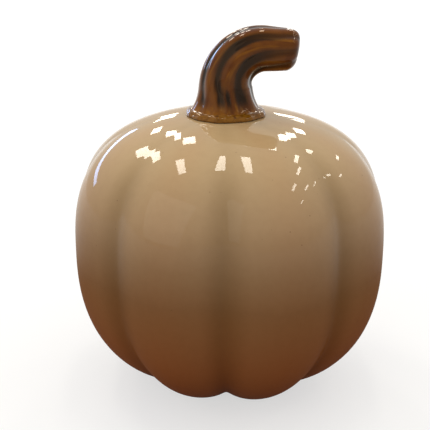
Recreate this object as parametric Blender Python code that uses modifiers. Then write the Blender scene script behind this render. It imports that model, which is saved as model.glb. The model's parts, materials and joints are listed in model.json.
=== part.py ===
"""Ceramic pumpkin figure: a hollow lobed casting with a hooked stem luted to its crown.

Units are metres and degrees, and +Z is up. The origin lies on the surface that the figure
stands on, below the middle of the body. The front is at -Y and the stem hooks towards +X.
Azimuths run from the front towards +X.
"""

import math

import bmesh
import bpy
from mathutils import Vector

# Body casting
BODY_RADIUS = 0.095
CROWN_RISE = 0.0783
BASE_DROP = 0.0925
FOOT_TRIM = 0.0057
BODY_WALL = 0.005
UPPER_POWERS = (0.80, 0.69)
LOWER_POWERS = (0.84, 0.83)
CROWN_HOLE_RADIUS = 0.012
CROWN_OFFSET = -0.0026
CROWN_BLEND_RADIUS = 0.06
VENT_RADIUS = 0.006
RECESS_RADIUS = 0.020
RECESS_DEPTH = 0.003
FOOT_ROUNDING = 0.003

# Lobes, counted from the groove nearest the front towards +X
FRONT_GROOVE_AZIMUTH = -1.4
LOBE_WIDTHS = (44.0, 43.5, 45.5, 46.5, 46.0, 46.0, 46.5, 42.0)
LOBE_BULGES = (1.26, 1.03, 0.84, 1.03, 1.00, 1.25, 0.89, 1.13)
WAIST_ARC = 0.576
CROWN_ARC = 0.85
BASE_ARC = 0.25
ARC_POWER = 2.5
GROOVE_SOFTNESS = 2.0

# Stem casting
STEM_RADIUS = 0.0144
STEM_TIP_RADIUS = 0.0123
STEM_WALL = 0.004
FOOT_RADIUS = 0.0216
FOOT_EDGE = 0.0012
FLARE_HEIGHT = 0.007
NECK_HEIGHT = 0.0147
BEND_RADIUS = 0.022
BEND_ANGLE = 93.0
HOOK_LENGTH = 0.0198
TIP_ROUNDING = 0.0068
FLUTES = 8
FLUTE_DEPTH = 0.0007
SPIGOT_LENGTH = 0.009
SPIGOT_CLEARANCE = 0.0006

# Lute and pads
SLIP_THICKNESS = 0.0012
SLIP_BEAD_WIDTH = 0.0018
SLIP_BEAD_HEIGHT = 0.0016
PAD_RADIUS = 0.006
PAD_THICKNESS = 0.002
PAD_EDGE = 0.0004
PAD_LOBES = (0, 2, 4, 6)
FIT_GAP = 0.0003

# Facets
SEGMENTS_PER_LOBE = 8
WALL_RINGS = 20
STEM_SEGMENTS = 32
STEM_STATIONS = 16
STATION_POWER = 1.25
ROUND_SEGMENTS = 48

# Levels that follow from the sizes above
FOOT_LEVEL = PAD_THICKNESS + FIT_GAP
WAIST_LEVEL = FOOT_LEVEL + BASE_DROP - FOOT_TRIM
SEAT_RADIUS = FOOT_RADIUS + FIT_GAP + SLIP_BEAD_WIDTH
LOBE_COUNT = len(LOBE_WIDTHS)
MERGE_DISTANCE = 1e-5
TURN_TOLERANCE = 1e-4

CERAMIC_CREAM = ((0.50, 0.36, 0.22, 1.0), 0.12)
STEM_BROWN = ((0.16, 0.07, 0.02, 1.0), 0.15)
SLIP_BROWN = ((0.20, 0.09, 0.025, 1.0), 0.2)
FELT_BEIGE = ((0.42, 0.36, 0.28, 1.0), 0.95)


def clear_scene():
    """Remove every object of the opened file."""
    for obj in list(bpy.data.objects):
        bpy.data.objects.remove(obj)


def new_collection(name):
    """Make the collection that holds the figure's pieces."""
    collection = bpy.data.collections.new(name)
    bpy.context.scene.collection.children.link(collection)
    return collection


def glaze(name, finish):
    """A Principled material of one colour and roughness."""
    colour, roughness = finish
    material = bpy.data.materials.new(name)
    material.use_nodes = True
    shader = material.node_tree.nodes["Principled BSDF"]
    shader.inputs["Base Color"].default_value = colour
    shader.inputs["Roughness"].default_value = roughness
    shader.inputs["Metallic"].default_value = 0.0
    material.diffuse_color = colour
    return material


def smoothstep(low, high, value):
    """0 below low, 1 above high, and a smooth rise between."""
    share = min(1.0, max(0.0, (value - low) / (high - low)))
    return share * share * (3.0 - 2.0 * share)


def corner_curve(start, corner, end, steps):
    """Points of a rounded corner, from start to end."""
    points = []
    for i in range(steps + 1):
        t = i / steps
        points.append(start * (1 - t) ** 2 + corner * (2 * t * (1 - t)) + end * t**2)
    return points


def wall_point(latitude):
    """The body's unlobed outline at a latitude in radians, as (radius, level)."""
    upper = latitude >= 0
    radius_power, level_power = UPPER_POWERS if upper else LOWER_POWERS
    height = CROWN_RISE if upper else -BASE_DROP
    radius = BODY_RADIUS * math.cos(latitude) ** radius_power
    return Vector((radius, WAIST_LEVEL + height * abs(math.sin(latitude)) ** level_power))


def latitude_of_radius(radius, side):
    """The latitude where the outline has this radius, above (1) or below (-1) the waist."""
    power = (UPPER_POWERS if side > 0 else LOWER_POWERS)[0]
    return side * math.acos((radius / BODY_RADIUS) ** (1.0 / power))


def latitude_of_foot():
    """The latitude where the lower outline meets the foot's plane."""
    share = (BASE_DROP - FOOT_TRIM) / BASE_DROP
    return -math.asin(share ** (1.0 / LOWER_POWERS[1]))


def seat_level():
    """The level of the crown's flat seat, where the upper outline has the seat's radius."""
    return wall_point(latitude_of_radius(SEAT_RADIUS, 1)).y


def land_radius():
    """The outer radius of the foot's flat land, before the lobes shape it."""
    return wall_point(latitude_of_foot()).x


def body_profile():
    """The casting's outer outline from the crown's hole down to the vent, as (radius, level)."""
    seat = seat_level()
    top = latitude_of_radius(SEAT_RADIUS, 1)
    bottom = latitude_of_foot()
    land = land_radius()
    middle = (CROWN_HOLE_RADIUS + SEAT_RADIUS) / 2
    points = [Vector((CROWN_HOLE_RADIUS, seat)), Vector((middle, seat))]
    for i in range(WALL_RINGS + 1):
        points.append(wall_point(top + (bottom - top) * i / WALL_RINGS))
    corner = points.pop()
    before = corner + (points[-1] - corner).normalized() * FOOT_ROUNDING
    after = corner - Vector((FOOT_ROUNDING, 0.0))
    points += corner_curve(before, corner, after, 3)
    points.append(Vector(((land + RECESS_RADIUS) / 2, FOOT_LEVEL)))
    points.append(Vector((RECESS_RADIUS, FOOT_LEVEL)))
    points.append(Vector((RECESS_RADIUS - RECESS_DEPTH, FOOT_LEVEL + RECESS_DEPTH)))
    points.append(Vector((VENT_RADIUS, FOOT_LEVEL + RECESS_DEPTH)))
    return points


def lobe_arc(level):
    """The radius of a lobe's rounding at a level, as a share of the body's radius there."""
    if level >= WAIST_LEVEL:
        share = (level - WAIST_LEVEL) / CROWN_RISE
        return WAIST_ARC + (CROWN_ARC - WAIST_ARC) * share**ARC_POWER
    share = (WAIST_LEVEL - level) / BASE_DROP
    return WAIST_ARC + (BASE_ARC - WAIST_ARC) * share**ARC_POWER


def lobe_height(turn, arc):
    """The reach of a lobe that is an arc of a circle, at a turn in radians from its crest."""
    centre = 1.0 - arc
    return centre * math.cos(turn) + math.sqrt(max(arc**2 - (centre * math.sin(turn)) ** 2, 0.0))


def lobe_scale(lobe, share, level):
    """The factor on the radius at a share (0 to 1) of a lobe's width."""
    arc = lobe_arc(level)
    half = math.pi / LOBE_COUNT
    soft = math.radians(GROOVE_SOFTNESS)
    from_groove = half * (1.0 - abs(2.0 * share - 1.0))
    softened = math.hypot(from_groove, soft) - soft * (1.0 - from_groove / half)
    groove = lobe_height(half, arc)
    crest = lobe_height(half - min(softened, half), arc)
    return groove + (crest - groove) * LOBE_BULGES[lobe]


def lobe_strength(radius, level):
    """How far the lobes shape the outline: not at the crown's hole or inside the foot."""
    if level > WAIST_LEVEL:
        return smoothstep(CROWN_HOLE_RADIUS, SEAT_RADIUS, radius)
    return smoothstep(RECESS_RADIUS, land_radius(), radius)


def crown_shift(radius, level):
    """How far a ring of the crown lies to the side: the seat and its hole lie off the axis."""
    if level < WAIST_LEVEL:
        return 0.0
    return CROWN_OFFSET * (1.0 - smoothstep(SEAT_RADIUS, CROWN_BLEND_RADIUS, radius))


def lobed(point):
    """Move a point of the turned body out to the lobe that it belongs to."""
    radius = math.hypot(point.x, point.y)
    even = math.atan2(point.x, -point.y) % math.tau / math.tau * LOBE_COUNT
    whole = int(even + TURN_TOLERANCE)
    lobe = whole % LOBE_COUNT
    share = max(0.0, even - whole)
    start = FRONT_GROOVE_AZIMUTH + sum(LOBE_WIDTHS[:lobe])
    azimuth = math.radians(start + share * LOBE_WIDTHS[lobe])
    strength = lobe_strength(radius, point.z)
    scale = 1.0 + (lobe_scale(lobe, share, point.z) - 1.0) * strength
    reach = radius * scale
    x = reach * math.sin(azimuth) + crown_shift(radius, point.z)
    return Vector((x, -reach * math.cos(azimuth), point.z))


def turned(name, profile, segments, collection, closed=False):
    """Turn a profile of (radius, level) points about +Z with a Screw modifier, as a mesh."""
    mesh = bpy.data.meshes.new(name)
    edges = [(i, i + 1) for i in range(len(profile) - 1)]
    if closed:
        edges.append((len(profile) - 1, 0))
    mesh.from_pydata([(p.x, 0.0, p.y) for p in profile], edges, [])
    obj = bpy.data.objects.new(name, mesh)
    collection.objects.link(obj)
    screw = obj.modifiers.new("turn", "SCREW")
    screw.steps = segments
    screw.render_steps = segments
    screw.use_merge_vertices = True
    screw.merge_threshold = MERGE_DISTANCE
    screw.use_normal_calculate = True
    apply_modifiers(obj)
    return obj


def apply_modifiers(obj):
    """Turn an object's evaluated shape into its own mesh."""
    graph = bpy.context.evaluated_depsgraph_get()
    evaluated = obj.evaluated_get(graph)
    mesh = bpy.data.meshes.new_from_object(evaluated)
    obj.modifiers.clear()
    obj.data = mesh


def finish_mesh(obj, material, sharp_angle=40.0):
    """Close the seams, point the faces outwards, shade the piece and give it its finish."""
    shape = bmesh.new()
    shape.from_mesh(obj.data)
    bmesh.ops.remove_doubles(shape, verts=shape.verts, dist=MERGE_DISTANCE)
    bmesh.ops.recalc_face_normals(shape, faces=shape.faces)
    shape.to_mesh(obj.data)
    shape.free()
    obj.data.shade_smooth()
    obj.data.set_sharp_from_angle(angle=math.radians(sharp_angle))
    obj.data.materials.clear()
    obj.data.materials.append(material)


def body_shell(collection, material):
    """The hollow lobed casting: an open turned surface, lobed and then thickened inwards."""
    obj = turned("body_shell", body_profile(), SEGMENTS_PER_LOBE * LOBE_COUNT, collection)
    for vertex in obj.data.vertices:
        vertex.co = lobed(vertex.co)
    finish_mesh(obj, material)
    thickness = obj.modifiers.new("wall", "SOLIDIFY")
    thickness.thickness = BODY_WALL
    thickness.offset = -1.0
    return obj


def stem_foot_level():
    """The level of the stem's flat underside, above the slip."""
    return seat_level() + SLIP_THICKNESS + 2 * FIT_GAP


def stem_length():
    """The length of the stem's centreline, from its foot to its tip."""
    return NECK_HEIGHT + BEND_RADIUS * math.radians(BEND_ANGLE) + HOOK_LENGTH


def stem_outer_radius(along):
    """The stem's mean radius at a distance along its centreline."""
    flare = (FOOT_RADIUS - STEM_RADIUS) * math.exp(-max(along, 0.0) / FLARE_HEIGHT)
    share = smoothstep(NECK_HEIGHT, stem_length(), along)
    return STEM_RADIUS + flare + (STEM_TIP_RADIUS - STEM_RADIUS) * share


def stem_profile():
    """The straight stem's section as (radius, distance along): outside down, inside up."""
    length = stem_length()
    shoulder = length - TIP_ROUNDING
    tip = stem_outer_radius(length)
    points = [Vector((0.0, length)), Vector(((tip - TIP_ROUNDING) / 2, length))]
    points += corner_curve(
        Vector((tip - TIP_ROUNDING, length)), Vector((tip, length)), Vector((tip, shoulder)), 4
    )
    for i in range(1, STEM_STATIONS + 1):
        along = FOOT_EDGE + (shoulder - FOOT_EDGE) * (1.0 - i / STEM_STATIONS) ** STATION_POWER
        points.append(Vector((stem_outer_radius(along), along)))
    spigot = CROWN_HOLE_RADIUS - SPIGOT_CLEARANCE
    points.append(Vector((FOOT_RADIUS - FOOT_EDGE, 0.0)))
    points.append(Vector((spigot, 0.0)))
    points.append(Vector((spigot, -SPIGOT_LENGTH)))
    inner = spigot - STEM_WALL
    points.append(Vector((inner, -SPIGOT_LENGTH)))
    for i in range(1, STEM_STATIONS):
        along = (length - STEM_WALL) * i / STEM_STATIONS
        points.append(Vector((stem_inner_radius(along), along)))
    points.append(Vector((0.0, length - STEM_WALL)))
    return points


def stem_inner_radius(along):
    """The radius of the stem's hollow at a distance along its centreline."""
    end = stem_length() - STEM_WALL
    start = CROWN_HOLE_RADIUS - SPIGOT_CLEARANCE - STEM_WALL
    full = STEM_RADIUS - STEM_WALL - FLUTE_DEPTH
    opened = start + (full - start) * smoothstep(0.0, NECK_HEIGHT, along)
    closing = max(0.0, 1.0 - ((along - end + TIP_ROUNDING) / TIP_ROUNDING) ** 2)
    return opened * (math.sqrt(closing) if along > end - TIP_ROUNDING else 1.0)


def stem_frame(along):
    """The centreline's point and its sideways direction at a distance along the stem."""
    bend_length = BEND_RADIUS * math.radians(BEND_ANGLE)
    in_bend = min(max(along - NECK_HEIGHT, 0.0), bend_length)
    angle = in_bend / BEND_RADIUS
    straight = along - NECK_HEIGHT - bend_length if along > NECK_HEIGHT + bend_length else 0.0
    below = min(along, NECK_HEIGHT)
    x = BEND_RADIUS * (1.0 - math.cos(angle)) + straight * math.sin(angle)
    z = below + BEND_RADIUS * math.sin(angle) + straight * math.cos(angle)
    return Vector((x, 0.0, z)), Vector((math.cos(angle), 0.0, -math.sin(angle)))


def flute(point, along):
    """The flutes' change of radius at a point of the straight stem's outside."""
    if along < FOOT_EDGE:
        return 0.0
    strength = smoothstep(0.0, FLARE_HEIGHT, along)
    strength *= 1.0 - smoothstep(stem_length() - TIP_ROUNDING, stem_length(), along)
    azimuth = math.atan2(point.y, point.x)
    return FLUTE_DEPTH * strength * math.cos(FLUTES * azimuth)


def bent(point):
    """Carry a point of the straight stem over to the hooked stem."""
    radius = math.hypot(point.x, point.y)
    along = point.z
    outside = radius > stem_outer_radius(along) - STEM_WALL / 2
    factor = 1.0
    if outside and radius > 0.0:
        factor = 1.0 + flute(point, along) / radius
    centre, sideways = stem_frame(along)
    moved = centre + sideways * (point.x * factor) + Vector((0.0, point.y * factor, 0.0))
    return moved + Vector((CROWN_OFFSET, 0.0, stem_foot_level()))


def stem(collection, material):
    """The hollow hooked stem, turned straight, fluted and then bent along its centreline."""
    obj = turned("stem", stem_profile(), STEM_SEGMENTS, collection)
    for vertex in obj.data.vertices:
        vertex.co = bent(vertex.co)
    finish_mesh(obj, material)
    return obj


def slip_joint(collection, material):
    """The slip that lutes the stem's foot to the seat, with a bead round the foot's edge."""
    bottom = seat_level() + FIT_GAP
    top = bottom + SLIP_THICKNESS
    inside = CROWN_HOLE_RADIUS + FIT_GAP
    foot = FOOT_RADIUS + FIT_GAP
    outside = foot + SLIP_BEAD_WIDTH - FIT_GAP
    bead_top = top + SLIP_BEAD_HEIGHT
    middle = (foot + outside) / 2
    profile = [Vector((inside, top)), Vector((foot, top)), Vector((foot, bead_top))]
    profile += corner_curve(
        Vector((middle, bead_top)), Vector((outside, bead_top)), Vector((outside, top)), 3
    )
    profile += [Vector((outside, bottom)), Vector((inside, bottom))]
    obj = turned("slip_joint", profile, ROUND_SEGMENTS, collection, closed=True)
    obj.location.x = CROWN_OFFSET
    finish_mesh(obj, material)
    return obj


def felt_pad(number, lobe, collection, material):
    """A felt disc under one lobe, in the middle of the foot's land."""
    crest = FRONT_GROOVE_AZIMUTH + sum(LOBE_WIDTHS[:lobe]) + LOBE_WIDTHS[lobe] / 2
    azimuth = math.radians(crest)
    circle = (RECESS_RADIUS + land_radius()) / 2
    bpy.ops.mesh.primitive_cylinder_add(
        vertices=ROUND_SEGMENTS // 2,
        radius=PAD_RADIUS,
        depth=PAD_THICKNESS,
        location=(circle * math.sin(azimuth), -circle * math.cos(azimuth), PAD_THICKNESS / 2),
    )
    obj = bpy.context.object
    obj.name = f"felt_pad_{number}"
    for holder in list(obj.users_collection):
        holder.objects.unlink(obj)
    collection.objects.link(obj)
    edge = obj.modifiers.new("edge", "BEVEL")
    edge.width = PAD_EDGE
    edge.segments = 1
    edge.limit_method = "ANGLE"
    obj.data.materials.append(material)
    return obj


def main():
    """Build the figure."""
    clear_scene()
    pieces = new_collection("ceramic_pumpkin_figure")
    body_shell(pieces, glaze("cream_glaze", CERAMIC_CREAM))
    stem(pieces, glaze("stem_glaze", STEM_BROWN))
    slip_joint(pieces, glaze("slip_glaze", SLIP_BROWN))
    felt = glaze("felt", FELT_BEIGE)
    for number, lobe in enumerate(PAD_LOBES, start=1):
        felt_pad(number, lobe, pieces, felt)


if __name__ == "__main__":
    main()
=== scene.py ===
"""Ceramic pumpkin figure, dressed: the glazed casting, its hooked stem, its bead and its felts.

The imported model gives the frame. Each piece here stands for one of its nodes, in metres,
with +Z up and the front at -Y. Azimuths run from the front towards +X, in degrees.
"""

from __future__ import annotations

import json
import logging
import math
from dataclasses import dataclass, field
from enum import Enum
from typing import Any, Callable, Optional, Sequence, Union

import bmesh
import bpy
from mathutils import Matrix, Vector, noise

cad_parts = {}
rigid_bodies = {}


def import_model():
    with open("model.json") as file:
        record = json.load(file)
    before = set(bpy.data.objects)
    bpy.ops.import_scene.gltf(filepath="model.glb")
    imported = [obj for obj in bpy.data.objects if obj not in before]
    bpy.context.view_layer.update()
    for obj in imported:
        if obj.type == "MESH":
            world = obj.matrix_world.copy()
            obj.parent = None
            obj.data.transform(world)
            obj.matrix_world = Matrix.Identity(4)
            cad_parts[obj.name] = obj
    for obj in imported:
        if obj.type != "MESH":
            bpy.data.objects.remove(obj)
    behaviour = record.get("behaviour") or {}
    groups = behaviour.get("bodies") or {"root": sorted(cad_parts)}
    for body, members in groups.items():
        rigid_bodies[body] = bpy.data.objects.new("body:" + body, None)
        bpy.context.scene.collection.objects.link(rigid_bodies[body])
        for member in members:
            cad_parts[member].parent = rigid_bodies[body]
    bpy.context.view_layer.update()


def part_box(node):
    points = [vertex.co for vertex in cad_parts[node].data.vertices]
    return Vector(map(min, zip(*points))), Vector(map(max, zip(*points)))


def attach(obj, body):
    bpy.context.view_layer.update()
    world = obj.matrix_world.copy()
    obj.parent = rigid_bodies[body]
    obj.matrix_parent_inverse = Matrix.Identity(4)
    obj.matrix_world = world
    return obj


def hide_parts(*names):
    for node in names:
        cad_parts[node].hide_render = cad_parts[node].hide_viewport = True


for leftover in list(bpy.data.objects):
    bpy.data.objects.remove(leftover)

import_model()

log = logging.getLogger("pumpkin")

ROOT_BODY = "root"
MERGE_DISTANCE = 1e-6
MILLIMETRE = 0.001

Colour = tuple[float, float, float, float]


class Facing(Enum):
    """Which way an open surface's faces should point."""

    OUTWARDS = 1
    INWARDS = -1


class Blend(Enum):
    """How two colours are mixed."""

    MIX = "MIX"
    MULTIPLY = "MULTIPLY"


def colour(red: float, green: float, blue: float) -> Colour:
    """An opaque colour, in linear values."""
    return (red, green, blue, 1.0)


def smoothstep(low: float, high: float, value: float) -> float:
    """0 below low, 1 above high, and a smooth rise between."""
    share = min(1.0, max(0.0, (value - low) / (high - low)))
    return share * share * (3.0 - 2.0 * share)


def rounded_corner(start: Vector, corner: Vector, end: Vector, steps: int) -> list[Vector]:
    """Points of a rounded corner.

    Args:
        start: Where the rounding begins.
        corner: The sharp corner that it replaces.
        end: Where the rounding ends.
        steps: How many stretches it has.

    Returns:
        The points from start to end.
    """
    points = []
    for i in range(steps + 1):
        t = i / steps
        points.append(start * (1 - t) ** 2 + corner * (2 * t * (1 - t)) + end * t**2)
    return points


# --- Shader maths -----------------------------------------------------------------------


class Signal:
    """A number that runs through a material's nodes: arithmetic on it adds Math nodes."""

    def __init__(self, bench: Bench, socket: bpy.types.NodeSocket) -> None:
        """Wrap an output socket of a bench's node."""
        self.bench = bench
        self.socket = socket

    def _math(self, operation: str, *values: Operand) -> Signal:
        """Add a Math node for an operation on values, in their order."""
        inputs = dict(enumerate(values))
        node = self.bench.add("ShaderNodeMath", {"operation": operation}, inputs)
        return Signal(self.bench, node.outputs[0])

    def __add__(self, other: Operand) -> Signal:
        """self + other."""
        return self._math("ADD", self, other)

    __radd__ = __add__

    def __sub__(self, other: Operand) -> Signal:
        """self - other."""
        return self._math("SUBTRACT", self, other)

    def __rsub__(self, other: Operand) -> Signal:
        """other - self."""
        return self._math("SUBTRACT", other, self)

    def __mul__(self, other: Operand) -> Signal:
        """self * other."""
        return self._math("MULTIPLY", self, other)

    __rmul__ = __mul__

    def __truediv__(self, other: Operand) -> Signal:
        """self / other."""
        return self._math("DIVIDE", self, other)

    def __pow__(self, other: Operand) -> Signal:
        """self ** other."""
        return self._math("POWER", self, other)

    def larger(self, other: Operand) -> Signal:
        """The larger of self and other."""
        return self._math("MAXIMUM", self, other)

    def rise(self, low: float, high: float) -> Signal:
        """A smooth rise.

        Args:
            low: The value below which the result is 0.
            high: The value above which the result is 1.

        Returns:
            The smooth step between the two.
        """
        node = self.bench.add(
            "ShaderNodeMapRange",
            {"interpolation_type": "SMOOTHSTEP"},
            {"Value": self, "From Min": low, "From Max": high},
        )
        return Signal(self.bench, node.outputs[0])


Operand = Union[float, Signal]
Feed = Union[float, Colour, Signal, bpy.types.NodeSocket]


class Bench:
    """A material's node tree, and the one way in which nodes are added to it."""

    def __init__(self, name: str) -> None:
        """Start a material of this name, with its Principled shader."""
        self.material = bpy.data.materials.new(name)
        self.material.use_nodes = True
        self.tree = self.material.node_tree
        self.shader = self.tree.nodes["Principled BSDF"]
        self.output = self.tree.nodes["Material Output"]

    def feed(self, socket: bpy.types.NodeSocket, value: Feed) -> None:
        """Link a signal or a socket to a socket, or set its value."""
        if isinstance(value, Signal):
            value = value.socket
        if isinstance(value, bpy.types.NodeSocket):
            self.tree.links.new(value, socket)
        else:
            socket.default_value = value

    def add(
        self,
        kind: str,
        settings: Optional[dict[str, Any]] = None,
        inputs: Optional[dict[Union[str, int], Feed]] = None,
    ) -> bpy.types.Node:
        """Add a node.

        Args:
            kind: The node's type.
            settings: Its properties, set first. "stops" holds a ramp's places and colours.
            inputs: Values or links of its sockets, by name or number.

        Returns:
            The new node.
        """
        node = self.tree.nodes.new(kind)
        for key, value in (settings or {}).items():
            if key == "stops":
                self._set_stops(node.color_ramp, value)
            else:
                setattr(node, key, value)
        for key, value in (inputs or {}).items():
            self.feed(node.inputs[key], value)
        return node

    @staticmethod
    def _set_stops(ramp: bpy.types.ColorRamp, stops: Sequence[tuple[float, Colour]]) -> None:
        """Give a ramp its stops, in rising order."""
        while len(ramp.elements) < len(stops):
            ramp.elements.new(1.0)
        for element, (place, stop_colour) in zip(ramp.elements, stops):
            element.position = place
            element.color = stop_colour

    def dress(self, **sockets: Feed) -> None:
        """Set or link the shader's sockets, whose names are written with underscores."""
        for key, value in sockets.items():
            self.feed(self.shader.inputs[key.replace("_", " ")], value)

    def place(self) -> bpy.types.NodeSocket:
        """Object coordinates, in metres."""
        return self.add("ShaderNodeTexCoord").outputs["Object"]

    def height(self) -> Signal:
        """The level above the surface that the figure stands on."""
        split = self.add("ShaderNodeSeparateXYZ", inputs={0: self.place()})
        return Signal(self, split.outputs["Z"])

    def attribute(self, name: str) -> Signal:
        """A number kept on the piece's points."""
        return Signal(self, self.add("ShaderNodeAttribute", {"attribute_name": name}).outputs["Fac"])

    def vector_attribute(self, name: str) -> bpy.types.NodeSocket:
        """A place kept on the piece's points."""
        return self.add("ShaderNodeAttribute", {"attribute_name": name}).outputs["Vector"]

    def stretched(
        self, coordinates: bpy.types.NodeSocket, stretch: tuple[float, float, float]
    ) -> bpy.types.NodeSocket:
        """Coordinates multiplied by a factor along each axis."""
        node = self.add("ShaderNodeMapping", inputs={"Vector": coordinates, "Scale": stretch})
        return node.outputs[0]

    def cloud(
        self, coordinates: bpy.types.NodeSocket, scale: float, detail: float = 2.0
    ) -> Signal:
        """Soft noise about 0.5.

        Args:
            coordinates: Where it is read.
            scale: Its cells to the metre.
            detail: How many finer layers it has.

        Returns:
            The noise.
        """
        node = self.add(
            "ShaderNodeTexNoise",
            inputs={"Vector": coordinates, "Scale": scale, "Detail": detail},
        )
        return Signal(self, node.outputs[0])

    def specks(self, coordinates: bpy.types.NodeSocket, scale: float, size: float) -> Signal:
        """Scattered round specks.

        Args:
            coordinates: Where they are read.
            scale: Their cells to the metre.
            size: A speck's radius, as a share of a cell.

        Returns:
            1 in a speck and 0 elsewhere.
        """
        cells = self.add("ShaderNodeTexVoronoi", inputs={"Vector": coordinates, "Scale": scale})
        return 1.0 - Signal(self, cells.outputs["Distance"]).rise(size * 0.6, size)

    def ramp(self, factor: Signal, stops: Sequence[tuple[float, Colour]]) -> bpy.types.NodeSocket:
        """A colour that depends on a number."""
        return self.add("ShaderNodeValToRGB", {"stops": stops}, {0: factor}).outputs[0]

    def mixed(
        self, factor: Operand, first: Feed, second: Feed, blend: Blend = Blend.MIX
    ) -> bpy.types.NodeSocket:
        """Two colours mixed.

        Args:
            factor: How much of the second there is.
            first: The first colour.
            second: The second colour.
            blend: How they are mixed.

        Returns:
            The mixed colour.
        """
        settings = {"data_type": "RGBA", "blend_type": blend.value}
        node = self.add("ShaderNodeMix", settings, {0: factor, 6: first, 7: second})
        return node.outputs[2]

    def relief(self, height: Signal, distance: float, strength: float) -> bpy.types.NodeSocket:
        """A Bump node's normal from a height signal."""
        inputs = {"Height": height, "Distance": distance, "Strength": strength}
        return self.add("ShaderNodeBump", inputs=inputs).outputs[0]


# --- Finishes ---------------------------------------------------------------------------


@dataclass(frozen=True)
class CreamGlaze:
    """The casting's glaze: cream on the shoulders, browner downwards (partly painted shade), bare at
    the foot.
    """

    foot_level: float
    crown_level: float
    # The colours run from foot to crown. They are partly the glaze's own tone and partly painted
    # shade that darkens and browns the lower body.
    foot_colour: Colour = colour(0.27, 0.082, 0.022)
    belly_colour: Colour = colour(0.275, 0.106, 0.037)
    waist_colour: Colour = colour(0.245, 0.126, 0.053)
    side_colour: Colour = colour(0.310, 0.186, 0.086)
    shoulder_colour: Colour = colour(0.43, 0.285, 0.148)
    crown_colour: Colour = colour(0.47, 0.325, 0.170)
    groove_tint: Colour = colour(0.78, 0.76, 0.68)
    crest_tint: Colour = colour(1.0, 0.95, 0.92)
    clay_colour: Colour = colour(0.55, 0.46, 0.36)
    speck_colour: Colour = colour(0.16, 0.08, 0.035)
    glaze_line: float = 0.0026
    roughness: float = 0.32
    coat_roughness: float = 0.035

    def material(self) -> bpy.types.Material:
        """The glaze as a material."""
        bench = Bench("cream_glaze")
        place = bench.place()
        rise = (bench.height() - self.foot_level) / (self.crown_level - self.foot_level)
        drift = bench.cloud(place, 14.0, 3.0) - 0.5
        flow = bench.cloud(bench.stretched(place, (1.0, 1.0, 0.22)), 70.0, 4.0) - 0.5
        # Height ramp: the browner, darker lower body is partly the glaze's own tone and partly
        # painted shade.
        body = bench.ramp(
            rise + drift * 0.06 + flow * 0.03,
            [
                (0.0, self.foot_colour),
                (0.24, self.belly_colour),
                (0.48, self.waist_colour),
                (0.61, self.side_colour),
                (0.76, self.shoulder_colour),
                (0.93, self.crown_colour),
            ],
        )
        groove = bench.attribute("groove")
        pooled = groove.rise(0.55, 1.0) * (1.0 - 0.8 * rise.rise(0.80, 0.97))
        body = bench.mixed(pooled, body, self.groove_tint, Blend.MULTIPLY)
        crest = (1.0 - groove).rise(0.35, 1.0)
        body = bench.mixed(crest * 0.8, body, self.crest_tint, Blend.MULTIPLY)
        mottle = bench.cloud(place, 240.0, 4.0).rise(0.35, 0.75)
        body = bench.mixed(mottle * 0.10, body, colour(0.72, 0.66, 0.58), Blend.MULTIPLY)
        speck = bench.specks(place, 190.0, 0.085) * bench.cloud(place, 60.0).rise(0.52, 0.6)
        body = bench.mixed(speck * 0.55, body, self.speck_colour)
        wave = (bench.cloud(place, 90.0) - 0.5) * (2.0 * MILLIMETRE)
        line = self.foot_level + self.glaze_line
        glazed = (bench.height() + wave).rise(line - 0.2 * MILLIMETRE, line + 0.2 * MILLIMETRE)
        grain = bench.cloud(place, 900.0, 5.0)
        clay = bench.mixed(grain.rise(0.3, 0.7), self.clay_colour, colour(0.42, 0.33, 0.24))
        gloss = 0.03 + 0.77 * rise.rise(0.42, 0.86)
        bench.dress(
            Base_Color=bench.mixed(glazed, clay, body),
            Roughness=0.85 - glazed * (0.85 - self.roughness),
            Specular_IOR_Level=0.0,
            Coat_Weight=glazed * gloss,
            Coat_Roughness=self.coat_roughness,
            Coat_IOR=1.5,
            Normal=bench.relief(grain * (1.0 - glazed) + mottle * 0.05, 0.2 * MILLIMETRE, 0.5),
        )
        return bench.material


@dataclass(frozen=True)
class BareClay:
    """The unglazed inside of a casting."""

    name: str
    pale: Colour = colour(0.55, 0.46, 0.36)
    dark: Colour = colour(0.40, 0.31, 0.22)

    def material(self) -> bpy.types.Material:
        """The clay as a material."""
        bench = Bench(self.name)
        place = bench.place()
        grain = bench.cloud(place, 900.0, 5.0)
        cast = bench.cloud(place, 40.0, 3.0)
        tone = bench.ramp(grain * 0.5 + cast * 0.5, [(0.35, self.dark), (0.65, self.pale)])
        bench.dress(
            Base_Color=tone,
            Roughness=0.82 + grain * 0.12,
            Normal=bench.relief(grain, 0.2 * MILLIMETRE, 0.5),
        )
        return bench.material


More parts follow.
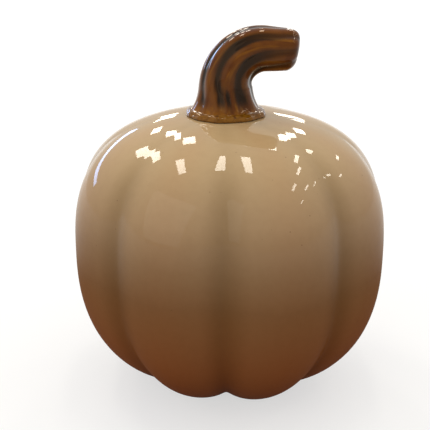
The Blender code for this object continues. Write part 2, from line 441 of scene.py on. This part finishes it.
@dataclass(frozen=True)
class StemGlaze:
    """The stem's glaze: amber on the ridges, near black where it pools in the flutes."""

    amber: Colour = colour(0.160, 0.050, 0.003)
    honey: Colour = colour(0.30, 0.115, 0.005)
    russet: Colour = colour(0.090, 0.021, 0.002)
    pooled: Colour = colour(0.005, 0.0015, 0.001)
    foot_band: float = 0.0075
    sheen: Colour = colour(1.0, 0.52, 0.16)
    gloss: float = 0.24
    hook: tuple[float, float] = (0.036, 0.066)
    streak_scale: float = 330.0

    def material(self) -> bpy.types.Material:
        """The glaze as a material, read along the unbent stem."""
        bench = Bench("stem_glaze")
        unbent = bench.vector_attribute("unbent")
        along = bench.attribute("along")
        valley = bench.attribute("valley")
        fine = bench.cloud(bench.stretched(unbent, (1.0, 1.0, 0.10)), self.streak_scale, 5.0)
        broad = bench.cloud(bench.stretched(unbent, (1.0, 1.0, 0.16)), 110.0, 3.0)
        patches = bench.cloud(unbent, 75.0, 2.0)
        ridge = bench.mixed(patches.rise(0.35, 0.7), self.amber, self.russet)
        ridge = bench.mixed(fine.rise(0.50, 0.72) * 0.65, ridge, self.honey)
        above_foot = along.rise(self.foot_band * 0.35, self.foot_band * 1.3)
        pool = valley * 1.15 + (broad - 0.5) * 1.0 + (fine - 0.5) * 0.9
        pool = pool.rise(0.02, 0.80) * (0.10 + 0.90 * above_foot)
        pool = pool * (1.0 - 0.42 * along.rise(*self.hook))
        tone = bench.mixed(pool, ridge, self.pooled)
        thin = (1.0 - along.rise(0.0, self.foot_band)) * fine.rise(0.30, 0.60)
        tone = bench.mixed(thin * 0.55, tone, self.honey)
        bench.dress(
            Base_Color=tone,
            Roughness=0.05 + 0.05 * patches,
            Specular_IOR_Level=0.20,
            Specular_Tint=self.sheen,
            Coat_Weight=self.gloss,
            Coat_Roughness=0.05,
            Coat_IOR=1.5,
            Normal=bench.relief(fine * 0.4 + broad * 0.6, 0.5 * MILLIMETRE, 0.5),
        )
        return bench.material


@dataclass(frozen=True)
class BeadGlaze:
    """The amber glaze that gathers in a bead round the stem's foot."""

    amber: Colour = colour(0.21, 0.084, 0.005)
    burnt: Colour = colour(0.075, 0.020, 0.002)
    sheen: Colour = colour(1.0, 0.62, 0.24)
    gloss: float = 0.2

    def material(self) -> bpy.types.Material:
        """The glaze as a material."""
        bench = Bench("bead_glaze")
        place = bench.place()
        patches = bench.cloud(place, 210.0, 3.0)
        fine = bench.cloud(place, 700.0, 3.0)
        tone = bench.ramp(
            patches * 0.7 + fine * 0.3, [(0.34, self.burnt), (0.46, self.amber), (0.70, self.burnt)]
        )
        bench.dress(
            Base_Color=tone,
            Roughness=0.05 + 0.05 * fine,
            Specular_IOR_Level=0.30,
            Specular_Tint=self.sheen,
            Coat_Weight=self.gloss,
            Coat_Roughness=0.04,
            Coat_IOR=1.5,
            Normal=bench.relief(patches, 0.3 * MILLIMETRE, 0.25),
        )
        return bench.material


@dataclass(frozen=True)
class PressedFelt:
    """Pressed wool felt, with the fibres that stand out of it."""

    pale: Colour = colour(0.46, 0.40, 0.31)
    dark: Colour = colour(0.27, 0.22, 0.16)

    def material(self) -> bpy.types.Material:
        """The felt as a material."""
        bench = Bench("felt")
        place = bench.place()
        warp = bench.cloud(place, 500.0, 2.0)
        fibres = bench.cloud(bench.stretched(place, (1.0, 3.2, 1.0)), 1500.0, 6.0)
        crossed = bench.cloud(bench.stretched(place, (3.0, 1.0, 1.0)), 1700.0, 6.0)
        wool = fibres * 0.5 + crossed * 0.5
        bench.dress(
            Base_Color=bench.ramp(wool * 0.8 + warp * 0.2, [(0.36, self.dark), (0.62, self.pale)]),
            Roughness=0.92,
            Sheen_Weight=0.35,
            Sheen_Roughness=0.6,
            Normal=bench.relief(wool, 0.3 * MILLIMETRE, 0.8),
        )
        return bench.material


@dataclass(frozen=True)
class PaleFloor:
    """A white sweep, which throws little light back up on the figure."""

    seen: Colour = colour(0.93, 0.93, 0.93)
    bounced: Colour = colour(0.30, 0.20, 0.13)
    glow: float = 0.6

    def material(self) -> bpy.types.Material:
        """The floor as a material: its bounced light is dimmer than what is seen of it."""
        bench = Bench("pale_floor")
        path = bench.add("ShaderNodeLightPath")
        camera = Signal(bench, path.outputs["Is Camera Ray"])
        glossy = Signal(bench, path.outputs["Is Glossy Ray"])
        through = Signal(bench, path.outputs["Is Transmission Ray"])
        direct = camera.larger(glossy).larger(through)
        bench.dress(
            Base_Color=bench.mixed(direct, self.bounced, self.seen),
            Roughness=0.9,
            Specular_IOR_Level=0.0,
        )
        white = bench.add("ShaderNodeEmission", inputs={"Strength": 1.0})
        sweep = bench.add(
            "ShaderNodeMixShader",
            inputs={0: direct * self.glow, 1: bench.shader.outputs[0], 2: white.outputs[0]},
        )
        bench.feed(bench.output.inputs["Surface"], sweep.outputs[0])
        return bench.material


# --- Meshes -----------------------------------------------------------------------------


class Turned:
    """A bmesh that starts as a profile turned about +Z."""

    def __init__(self, profile: Sequence[Vector], segments: int, closed: bool = False) -> None:
        """Turn a profile.

        Args:
            profile: Points of (radius, level).
            segments: How many steps the full turn has.
            closed: Whether the profile's last point joins its first.
        """
        self.shape = bmesh.new()
        points = [self.shape.verts.new((p.x, 0.0, p.y)) for p in profile]
        edges = [self.shape.edges.new(pair) for pair in zip(points, points[1:])]
        if closed:
            edges.append(self.shape.edges.new((points[-1], points[0])))
        bmesh.ops.spin(
            self.shape,
            geom=points + edges,
            cent=(0.0, 0.0, 0.0),
            axis=(0.0, 0.0, 1.0),
            angle=math.tau,
            steps=segments,
            use_merge=True,
        )
        bmesh.ops.remove_doubles(self.shape, verts=self.shape.verts, dist=MERGE_DISTANCE)

    def number_layer(self, name: str) -> Any:
        """A layer that keeps one number on each point."""
        return self.shape.verts.layers.float.new(name)

    def place_layer(self, name: str) -> Any:
        """A layer that keeps a place on each point."""
        return self.shape.verts.layers.float_vector.new(name)

    def reshape(self, move: Callable[[bmesh.types.BMVert], Vector]) -> None:
        """Move every point to where a function puts it."""
        for point in self.shape.verts:
            point.co = move(point)

    def finished(self, name: str, facing: Facing = Facing.OUTWARDS) -> bpy.types.Object:
        """Make the piece's object.

        Args:
            name: The piece's name.
            facing: Which way its faces point.

        Returns:
            The object, at the origin, with its place in its mesh.
        """
        bmesh.ops.recalc_face_normals(self.shape, faces=self.shape.faces)
        self.shape.normal_update()
        widest = max(self.shape.faces, key=lambda face: face.calc_center_median().x)
        if widest.normal.x * facing.value < 0.0:
            bmesh.ops.reverse_faces(self.shape, faces=self.shape.faces)
        mesh = bpy.data.meshes.new(name)
        self.shape.to_mesh(mesh)
        self.shape.free()
        mesh.shade_smooth()
        piece = bpy.data.objects.new(name, mesh)
        bpy.context.scene.collection.objects.link(piece)
        return piece


def hand_in(piece: bpy.types.Object, node: str) -> None:
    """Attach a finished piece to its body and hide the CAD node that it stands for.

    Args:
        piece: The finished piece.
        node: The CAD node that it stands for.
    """
    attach(piece, ROOT_BODY)
    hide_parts(node)
    log.info("%s stands for %s, with %d points", piece.name, node, len(piece.data.vertices))


@dataclass
class PumpkinBody:
    """The hollow lobed casting."""

    radius: float = 0.095
    crown_rise: float = 0.0783
    base_drop: float = 0.0925
    foot_trim: float = 0.0057
    wall: float = 0.005
    upper_powers: tuple[float, float] = (0.80, 0.69)
    lower_powers: tuple[float, float] = (0.84, 0.83)
    crown_hole_radius: float = 0.012
    crown_offset: float = -0.0026
    crown_blend_radius: float = 0.06
    seat_radius: float = 0.0237
    vent_radius: float = 0.006
    recess_radius: float = 0.020
    recess_depth: float = 0.003
    foot_rounding: float = 0.003
    front_groove_azimuth: float = -1.4
    lobe_widths: tuple[float, ...] = (44.0, 43.5, 45.5, 46.5, 46.0, 46.0, 46.5, 42.0)
    lobe_bulges: tuple[float, ...] = (1.26, 1.03, 0.84, 1.03, 1.00, 1.25, 0.89, 1.13)
    waist_arc: float = 0.576
    crown_arc: float = 0.85
    base_arc: float = 0.25
    arc_power: float = 2.5
    groove_softness: float = 1.6
    wall_rings: int = 132
    segments_per_lobe: int = 36
    unevenness: float = 0.00022
    ripple: float = 0.00004
    glaze_step: float = 0.00025
    foot_level: float = field(init=False)
    waist_level: float = field(init=False)

    def __post_init__(self) -> None:
        """Take the levels from the frame."""
        self.foot_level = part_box("body_shell")[0][2]
        self.waist_level = self.foot_level + self.base_drop - self.foot_trim

    def wall_point(self, latitude: float) -> Vector:
        """The unlobed outline at a latitude in radians, as (radius, level)."""
        upper = latitude >= 0
        radius_power, level_power = self.upper_powers if upper else self.lower_powers
        height = self.crown_rise if upper else -self.base_drop
        radius = self.radius * math.cos(latitude) ** radius_power
        level = self.waist_level + height * abs(math.sin(latitude)) ** level_power
        return Vector((radius, level))

    def top_latitude(self) -> float:
        """The latitude where the outline meets the seat."""
        return math.acos((self.seat_radius / self.radius) ** (1.0 / self.upper_powers[0]))

    def bottom_latitude(self) -> float:
        """The latitude where the outline meets the foot's plane."""
        share = (self.base_drop - self.foot_trim) / self.base_drop
        return -math.asin(share ** (1.0 / self.lower_powers[1]))

    def seat_level(self) -> float:
        """The level of the crown's flat seat."""
        return self.wall_point(self.top_latitude()).y

    def profile(self) -> list[Vector]:
        """The outline from the crown's hole down to the vent."""
        seat = self.seat_level()
        top, bottom = self.top_latitude(), self.bottom_latitude()
        land = self.wall_point(bottom).x
        points = []
        for i in range(5):
            radius = self.crown_hole_radius
            radius += (self.seat_radius - self.crown_hole_radius) * i / 5
            points.append(Vector((radius, seat)))
        for i in range(self.wall_rings + 1):
            share = i / self.wall_rings
            points.append(self.wall_point(top + (bottom - top) * share))
        corner = points.pop()
        while (points[-1] - corner).length < self.foot_rounding:
            points.pop()
        before = corner + (points[-1] - corner).normalized() * self.foot_rounding
        after = corner - Vector((self.foot_rounding, 0.0))
        points += rounded_corner(before, corner, after, 8)
        lip = Vector((self.recess_radius + 0.5 * MILLIMETRE, self.foot_level))
        for i in range(1, 9):
            points.append(after.lerp(lip, i / 9))
        inside = self.foot_level + self.recess_depth
        edge = self.recess_radius - self.recess_depth
        points += rounded_corner(lip, Vector((self.recess_radius, lip.y)),
                                 Vector((self.recess_radius - MILLIMETRE, lip.y + MILLIMETRE)), 3)
        points += rounded_corner(Vector((edge + 0.8 * MILLIMETRE, inside - 0.8 * MILLIMETRE)),
                                 Vector((edge, inside)),
                                 Vector((edge - MILLIMETRE, inside)), 3)
        for i in range(1, 5):
            points.append(Vector((edge + (self.vent_radius - edge) * i / 4, inside)))
        return points

    def arc(self, level: float) -> float:
        """The radius of a lobe's rounding at a level, as a share of the body's radius."""
        if level >= self.waist_level:
            share = (level - self.waist_level) / self.crown_rise
            return self.waist_arc + (self.crown_arc - self.waist_arc) * share**self.arc_power
        share = (self.waist_level - level) / self.base_drop
        return self.waist_arc + (self.base_arc - self.waist_arc) * share**self.arc_power

    @staticmethod
    def reach(turn: float, arc: float) -> float:
        """How far out a lobe lies at a turn in radians from its crest."""
        centre = 1.0 - arc
        inside = max(arc**2 - (centre * math.sin(turn)) ** 2, 0.0)
        return centre * math.cos(turn) + math.sqrt(inside)

    def scale(self, lobe: int, share: float, level: float) -> float:
        """The factor on the radius at a share of a lobe's width."""
        arc = self.arc(level)
        half = math.pi / len(self.lobe_widths)
        soft = math.radians(self.groove_softness)
        from_groove = half * (1.0 - abs(2.0 * share - 1.0))
        softened = math.hypot(from_groove, soft) - soft * (1.0 - from_groove / half)
        groove = self.reach(half, arc)
        crest = self.reach(half - min(softened, half), arc)
        return groove + (crest - groove) * self.lobe_bulges[lobe]

    def lobed(self, point: Vector) -> tuple[Vector, float]:
        """Move a point of the turned casting to its lobe.

        Args:
            point: The point on the turned casting.

        Returns:
            Where it goes, and how near it is to a groove, from 0 on a crest to 1.
        """
        radius = math.hypot(point.x, point.y)
        count = len(self.lobe_widths)
        even = math.atan2(point.x, -point.y) % math.tau / math.tau * count
        whole = int(even + 1e-4)
        lobe = whole % count
        share = max(0.0, even - whole)
        start = self.front_groove_azimuth + sum(self.lobe_widths[:lobe])
        azimuth = math.radians(start + share * self.lobe_widths[lobe])
        upper = point.z > self.waist_level
        if upper:
            strength = smoothstep(self.crown_hole_radius, self.seat_radius, radius)
        else:
            land = self.wall_point(self.bottom_latitude()).x
            strength = smoothstep(self.recess_radius, land, radius)
        factor = 1.0 + (self.scale(lobe, share, point.z) - 1.0) * strength
        reach = radius * factor
        shift = 0.0
        if upper:
            near = 1.0 - smoothstep(self.seat_radius, self.crown_blend_radius, radius)
            shift = self.crown_offset * near
        moved = Vector((reach * math.sin(azimuth) + shift, -reach * math.cos(azimuth), point.z))
        return moved, abs(2.0 * share - 1.0) * strength

    def uneven(self, point: Vector) -> Vector:
        """The handmade unevenness and the glaze's step at a point of the lobed casting."""
        radius = math.hypot(point.x, point.y)
        free = smoothstep(self.seat_radius, self.seat_radius + 0.02, radius)
        free *= smoothstep(0.0, 0.02, point.z - self.foot_level)
        outwards = Vector((point.x, point.y, point.z - self.waist_level)).normalized()
        broad = noise.noise(point * 26.0) * self.unevenness
        ripple = noise.noise(point * 95.0) * self.ripple
        line = self.foot_level + 2.6 * MILLIMETRE + noise.noise(point * 60.0) * MILLIMETRE
        step = smoothstep(line - 0.4 * MILLIMETRE, line + 0.4 * MILLIMETRE, point.z)
        return outwards * ((broad + ripple) * free + (step - 1.0) * self.glaze_step * step)

    def build(self) -> bpy.types.Object:
        """Build and dress the casting."""
        turned = Turned(self.profile(), self.segments_per_lobe * len(self.lobe_widths))
        groove_layer = turned.number_layer("groove")

        def move(vertex: bmesh.types.BMVert) -> Vector:
            """Lobe a point and keep how near it is to a groove."""
            moved, near = self.lobed(vertex.co)
            vertex[groove_layer] = near
            return moved + self.uneven(moved)

        turned.reshape(move)
        piece = turned.finished("pumpkin_body")
        piece.data.materials.append(CreamGlaze(self.foot_level, self.seat_level()).material())
        piece.data.materials.append(BareClay("casting_clay").material())
        wall = piece.modifiers.new("wall", "SOLIDIFY")
        wall.thickness = self.wall
        wall.offset = -1.0
        wall.material_offset = 1
        wall.material_offset_rim = 1
        hand_in(piece, "body_shell")
        return piece


@dataclass
class HookedStem:
    """The hollow fluted stem, turned straight and then bent along its centreline."""

    offset: float = -0.0026
    radius: float = 0.0144
    tip_radius: float = 0.0121
    wall: float = 0.004
    foot_radius: float = 0.0216
    foot_edge: float = 0.0012
    flare_height: float = 0.007
    neck_height: float = 0.0147
    bend_radius: float = 0.022
    bend_angle: float = 93.0
    hook_length: float = 0.0198
    tip_rounding: float = 0.0078
    spigot_radius: float = 0.0114
    spigot_length: float = 0.009
    valleys: tuple[float, ...] = (-95.0, -48.0, -5.0, 14.0, 41.0, 82.0, 122.0, 165.0, 212.0)
    widths: tuple[float, ...] = (11.0, 11.0, 11.0, 5.0, 12.0, 10.0, 12.0, 11.0, 10.0)
    tip_slant: float = 0.0026
    short_valley: int = 3
    valley_depth: float = 0.0011
    swell: float = 0.0005
    twist: float = -50.0
    rings: int = 150
    segments: int = 168
    foot_level: float = field(init=False)

    def __post_init__(self) -> None:
        """Take the foot's level from the frame."""
        self.foot_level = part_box("stem")[0][2] + self.spigot_length

    def length(self) -> float:
        """The centreline's length from foot to tip."""
        return self.neck_height + self.bend_radius * math.radians(self.bend_angle) + self.hook_length

    def outer_radius(self, along: float) -> float:
        """The mean radius at a distance along the centreline."""
        flare = (self.foot_radius - self.radius) * math.exp(-max(along, 0.0) / self.flare_height)
        share = smoothstep(self.neck_height, self.length(), along)
        return self.radius + flare + (self.tip_radius - self.radius) * share

    def inner_radius(self, along: float) -> float:
        """The hollow's radius at a distance along the centreline."""
        end = self.length() - self.wall
        start = self.spigot_radius - self.wall
        full = self.radius - self.wall - self.swell
        opened = start + (full - start) * smoothstep(0.0, self.neck_height, along)
        near_end = max(0.0, (along - end + self.tip_rounding) / self.tip_rounding)
        return opened * math.sqrt(max(0.0, 1.0 - near_end**2))

    def profile(self) -> list[Vector]:
        """The straight stem's section as (radius, distance along)."""
        length = self.length()
        shoulder = length - self.tip_rounding
        tip = self.outer_radius(length)
        flat = tip - self.tip_rounding
        points = []
        for i in range(8):
            points.append(Vector((flat * i / 8, length - 0.5 * MILLIMETRE * (1 - (i / 8) ** 2))))
        points += rounded_corner(
            Vector((flat, length)), Vector((tip, length)), Vector((tip, shoulder)), 18
        )
        for i in range(1, self.rings + 1):
            along = self.foot_edge + (shoulder - self.foot_edge) * (1.0 - i / self.rings) ** 1.25
            points.append(Vector((self.outer_radius(along), along)))
        edge = self.outer_radius(self.foot_edge)
        points += rounded_corner(
            points.pop(), Vector((edge, 0.0)), Vector((edge - self.foot_edge, 0.0)), 5
        )
        points.append(Vector((self.spigot_radius, 0.0)))
        points.append(Vector((self.spigot_radius, -self.spigot_length)))
        points.append(Vector((self.spigot_radius - self.wall, -self.spigot_length)))
        inner_rings = 24
        for i in range(1, inner_rings):
            along = (length - self.wall) * i / inner_rings
            points.append(Vector((self.inner_radius(along), along)))
        points.append(Vector((0.0, length - self.wall)))
        return points

    def valley(self, azimuth: float, along: float) -> float:
        """How deep a point lies in a flute, from 0 on a ridge to 1."""
        turned = azimuth - self.twist * along / self.length()
        total = 0.0
        for number, (centre, width) in enumerate(zip(self.valleys, self.widths)):
            wander = noise.noise(Vector((number * 3.7, 0.0, along * 45.0))) * 5.0
            off = (turned + wander - centre + 180.0) % 360.0 - 180.0
            fade = 0.8 + 0.4 * noise.noise(Vector((number * 5.1, 1.0, along * 60.0)))
            if number == self.short_valley:
                fade *= 1.0 - smoothstep(self.neck_height * 0.7, self.neck_height * 1.3, along)
            total = max(total, math.exp(-((off / width) ** 2)) * fade)
        return min(total, 1.0)

    def frame_at(self, along: float) -> tuple[Vector, Vector]:
        """The centreline's point and its sideways direction at a distance along it."""
        bend_length = self.bend_radius * math.radians(self.bend_angle)
        angle = min(max(along - self.neck_height, 0.0), bend_length) / self.bend_radius
        straight = max(along - self.neck_height - bend_length, 0.0)
        x = self.bend_radius * (1.0 - math.cos(angle)) + straight * math.sin(angle)
        z = min(along, self.neck_height) + self.bend_radius * math.sin(angle)
        z += straight * math.cos(angle)
        return Vector((x, 0.0, z)), Vector((math.cos(angle), 0.0, -math.sin(angle)))

    def slanted(self, point: Vector) -> float:
        """How far along the stem a point lies, once the tip is cut at a slant."""
        near_tip = smoothstep(self.length() - 2.0 * self.tip_rounding, self.length(), point.z)
        lower = min(max(0.5 + 0.5 * point.x / self.tip_radius, 0.0), 1.0)
        return point.z - self.tip_slant * near_tip * lower

    def carve(self, point: Vector) -> tuple[float, float]:
        """The flutes at a point of the straight stem.

        Args:
            point: The point on the turned stem.

        Returns:
            The factor on its radius, and how deep it lies in a flute.
        """
        radius = math.hypot(point.x, point.y)
        along = point.z
        inside = radius < self.outer_radius(along) - self.tip_rounding / 1.5
        if along <= 0.0 or (inside and along < self.length() - self.wall / 4):
            return 1.0, 0.0
        azimuth = math.degrees(math.atan2(point.x, -point.y))
        depth = self.valley(azimuth, along)
        strength = smoothstep(0.0, self.flare_height * 0.7, along)
        rounding = smoothstep(self.length() - self.tip_rounding * 0.8, self.length(), along)
        strength *= 1.0 - 0.55 * rounding
        change = (self.swell - self.valley_depth * depth) * strength
        rough = noise.noise(Vector((point.x * 160.0, point.y * 160.0, along * 60.0)))
        change += rough * 0.00018 * strength
        return 1.0 + change / max(radius, self.tip_radius / 2), depth

    def build(self) -> bpy.types.Object:
        """Build and dress the stem."""
        turned = Turned(self.profile(), self.segments)
        valley_layer = turned.number_layer("valley")
        along_layer = turned.number_layer("along")
        unbent_layer = turned.place_layer("unbent")

        def move(vertex: bmesh.types.BMVert) -> Vector:
            """Flute and bend a point, and keep where it was."""
            factor, depth = self.carve(vertex.co)
            vertex[valley_layer] = depth
            vertex[along_layer] = vertex.co.z
            vertex[unbent_layer] = vertex.co.copy()
            centre, sideways = self.frame_at(self.slanted(vertex.co))
            moved = centre + sideways * (vertex.co.x * factor)
            return moved + Vector((self.offset, vertex.co.y * factor, self.foot_level))

        turned.reshape(move)
        piece = turned.finished("hooked_stem")
        piece.data.materials.append(StemGlaze().material())
        hand_in(piece, "stem")
        return piece


@dataclass
class GlazeBead:
    """The luting slip under the stem's foot, with the wavy bead of glaze round its edge."""

    offset: float = -0.0026
    inner_radius: float = 0.0123
    foot_radius: float = 0.0219
    bead_width: float = 0.0016
    bead_height: float = 0.0013
    tuck_radius: float = 0.0192
    tuck_height: float = 0.0026
    thickness: float = 0.0012
    waviness: float = 0.0014
    segments: int = 260
    base_level: float = field(init=False)

    def __post_init__(self) -> None:
        """Take the lowest level from the frame."""
        self.base_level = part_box("slip_joint")[0][2]

    def profile(self) -> list[Vector]:
        """The ring's closed section, whose top tucks in under the stem's flare."""
        top = self.base_level + self.thickness
        outside = self.foot_radius + self.bead_width
        tuck = Vector((self.tuck_radius, top + self.tuck_height))
        low = Vector((outside, self.base_level + 0.5 * MILLIMETRE))
        bulge = Vector((outside - 0.2 * MILLIMETRE, top + self.bead_height))
        points = [Vector((self.inner_radius, top)), Vector((self.tuck_radius, top))]
        points += rounded_corner(tuck, bulge, low, 16)
        points += rounded_corner(
            low - Vector((0.0, 0.1 * MILLIMETRE)),
            Vector((outside, self.base_level)),
            Vector((outside - 0.6 * MILLIMETRE, self.base_level)),
            4,
        )
        points.append(Vector((self.inner_radius, self.base_level)))
        return points

    def wavy(self, vertex: bmesh.types.BMVert) -> Vector:
        """Where a point of the turned ring goes."""
        point = vertex.co
        radius = math.hypot(point.x, point.y)
        turn = Vector((point.x, point.y, 0.0)) / max(radius, MILLIMETRE)
        around = noise.noise(turn * 2.6) * 0.8 + noise.noise(turn * 7.0) * 0.25
        outer = smoothstep(self.foot_radius - MILLIMETRE, self.foot_radius + MILLIMETRE, radius)
        reach = radius + outer * around * self.waviness
        raised = smoothstep(0.0, self.bead_height, point.z - self.base_level - self.thickness)
        level = point.z + raised * outer * around * self.waviness
        turned = turn * reach
        return Vector((turned.x + self.offset, turned.y, level))

    def build(self) -> bpy.types.Object:
        """Build and dress the bead."""
        turned = Turned(self.profile(), self.segments, closed=True)
        turned.reshape(self.wavy)
        piece = turned.finished("glaze_bead")
        piece.data.materials.append(BeadGlaze().material())
        hand_in(piece, "slip_joint")
        return piece


@dataclass
class FeltDisc:
    """One felt disc, stuck on by its upper face."""

    number: int
    edge: float = 0.0005
    segments: int = 120
    rings: int = 14
    fuzz: float = 0.00008

    def build(self, material: bpy.types.Material) -> bpy.types.Object:
        """Build the disc and dress it in a felt that the discs share."""
        node = f"felt_pad_{self.number}"
        low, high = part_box(node)
        middle = Vector(((low[0] + high[0]) / 2, (low[1] + high[1]) / 2, 0.0))
        radius = (high[0] - low[0]) / 2
        top, bottom = high[2], low[2]
        points = []
        for i in range(self.rings):
            points.append(Vector(((radius - self.edge) * i / self.rings, top)))
        points += rounded_corner(
            Vector((radius - self.edge, top)),
            Vector((radius, top)),
            Vector((radius, top - self.edge)),
            4,
        )
        points += rounded_corner(
            Vector((radius, bottom + self.edge)),
            Vector((radius, bottom)),
            Vector((radius - self.edge, bottom)),
            4,
        )
        for i in range(1, self.rings + 1):
            points.append(Vector(((radius - self.edge) * (1 - i / self.rings), bottom)))
        turned = Turned(points, self.segments)

        def move(vertex: bmesh.types.BMVert) -> Vector:
            """Roughen a point of the disc's rim and carry it to its place."""
            point = vertex.co
            outer = smoothstep(radius - 2.0 * self.edge, radius, math.hypot(point.x, point.y))
            shake = noise.noise((point + middle) * 1800.0) * self.fuzz * outer
            return point * (1.0 + shake / radius) + middle

        turned.reshape(move)
        piece = turned.finished(f"felt_disc_{self.number}")
        for vertex in piece.data.vertices:
            vertex.co.z = min(max(vertex.co.z, bottom), top)
        piece.data.materials.append(material)
        hand_in(piece, node)
        return piece


# --- Studio -----------------------------------------------------------------------------


@dataclass(frozen=True)
class Lamp:
    """A rectangular lamp that is turned to a target."""

    name: str
    place: tuple[float, float, float]
    size: tuple[float, float]
    radiance: float
    tint: tuple[float, float, float] = (1.0, 0.95, 0.84)

    def build(self, target: Vector) -> None:
        """Hang the lamp and turn it to a target."""
        light = bpy.data.lights.new(self.name, "AREA")
        light.shape = "RECTANGLE"
        light.size, light.size_y = self.size
        light.color = self.tint
        light.energy = self.radiance * math.pi * self.size[0] * self.size[1]
        lamp = bpy.data.objects.new(self.name, light)
        lamp.location = self.place
        aim = target - Vector(self.place)
        lamp.rotation_euler = aim.to_track_quat("-Z", "Y").to_euler()
        bpy.context.scene.collection.objects.link(lamp)


@dataclass
class Studio:
    """The floor, the lamps, the world and the camera."""

    target: tuple[float, float, float] = (0.0, 0.0, 0.082)
    aim: tuple[float, float, float] = (-0.0088, 0.0074, 0.1011)
    distance: float = 0.600
    elevation: float = 21.3
    lens: float = 81.5
    floor_radius: float = 30.0
    world_strength: float = 0.76
    ceiling: float = 2.1
    ceiling_lamps: tuple[tuple[float, float, float, float], ...] = (
        (-0.73, 0.5, 0.19, 0.75),
        (0.10, 0.4, 0.16, 0.75),
        (1.38, 0.7, 0.12, 0.42),
        (1.46, -0.2, 0.12, 0.40),
        (2.2, 0.2, 0.11, 0.35),
        (2.5, -0.8, 0.11, 0.35),
        (2.7, 0.8, 0.11, 0.35),
        (-1.42, 1.6, 0.35, 0.65),
        (1.17, 1.3, 0.14, 0.50),
        (2.2, 2.2, 0.14, 0.45),
        (-0.52, 2.0, 0.22, 0.55),
        (0.05, 2.1, 0.12, 0.30),
        (0.55, 1.7, 0.15, 0.50),
        (-0.78, 2.6, 0.16, 0.70),
        (0.76, 2.7, 0.16, 0.60),
        (-1.15, 3.7, 0.22, 1.00),
        (1.0, 3.8, 0.22, 1.00),
        (-1.49, 9.2, 0.70, 2.40),
        (1.4, 10.0, 0.70, 2.40),
    )
    lamp_radiance: float = 12.0

    def build(self) -> None:
        """Set up the whole studio."""
        self.lay_floor()
        self.light_world()
        self.hang_lamps()
        self.set_camera()
        bpy.context.scene.view_settings.view_transform = "Standard"

    def lay_floor(self) -> None:
        """Lay a round pale floor."""
        shape = bmesh.new()
        bmesh.ops.create_circle(shape, cap_ends=True, segments=96, radius=self.floor_radius)
        mesh = bpy.data.meshes.new("floor")
        shape.to_mesh(mesh)
        shape.free()
        mesh.materials.append(PaleFloor().material())
        floor = bpy.data.objects.new("floor", mesh)
        bpy.context.scene.collection.objects.link(floor)

    def light_world(self) -> None:
        """Fill the room with an even light."""
        world = bpy.data.worlds.new("room")
        bpy.context.scene.world = world
        world.use_nodes = True
        room = world.node_tree.nodes["Background"]
        room.inputs["Color"].default_value = colour(1.0, 0.98, 0.95)
        room.inputs["Strength"].default_value = self.world_strength

    def hang_lamps(self) -> None:
        """Hang a soft lamp, a cool strip, and ceiling panels where the glaze mirrors them."""
        target = Vector(self.target)
        lamps = [
            Lamp("left_side", (-2.2, -2.0, 1.6), (3.4, 3.0), 0.55),
            Lamp("cool_strip", (-1.85, 2.36, 0.72), (2.3, 0.22), 7.0, (0.38, 0.58, 1.0)),
        ]
        for number, (across, depth, width, length) in enumerate(self.ceiling_lamps):
            place = (across, depth, self.ceiling)
            panel = Lamp(f"ceiling_{number}", place, (width, length), self.lamp_radiance)
            panel.build(Vector((across, depth, 0.0)))
        for lamp in lamps:
            lamp.build(target)

    def set_camera(self) -> None:
        """Set the camera at the height of someone who looks down on a table."""
        turn = math.radians(self.elevation)
        back = Vector((0.0, -math.cos(turn), math.sin(turn)))
        camera = bpy.data.objects.new("camera", bpy.data.cameras.new("camera"))
        camera.data.lens = self.lens
        camera.data.clip_start = 0.01
        camera.location = Vector(self.target) + back * self.distance
        view = Vector(self.aim) - camera.location
        camera.rotation_euler = view.to_track_quat("-Z", "Y").to_euler()
        bpy.context.scene.collection.objects.link(camera)
        bpy.context.scene.camera = camera


def main() -> None:
    """Build the figure and its studio."""
    logging.basicConfig(level=logging.INFO, format="%(name)s: %(message)s")
    PumpkinBody().build()
    HookedStem().build()
    GlazeBead().build()
    felt = PressedFelt().material()
    for number in range(1, 5):
        FeltDisc(number).build(felt)
    Studio().build()


if __name__ == "__main__":
    main()
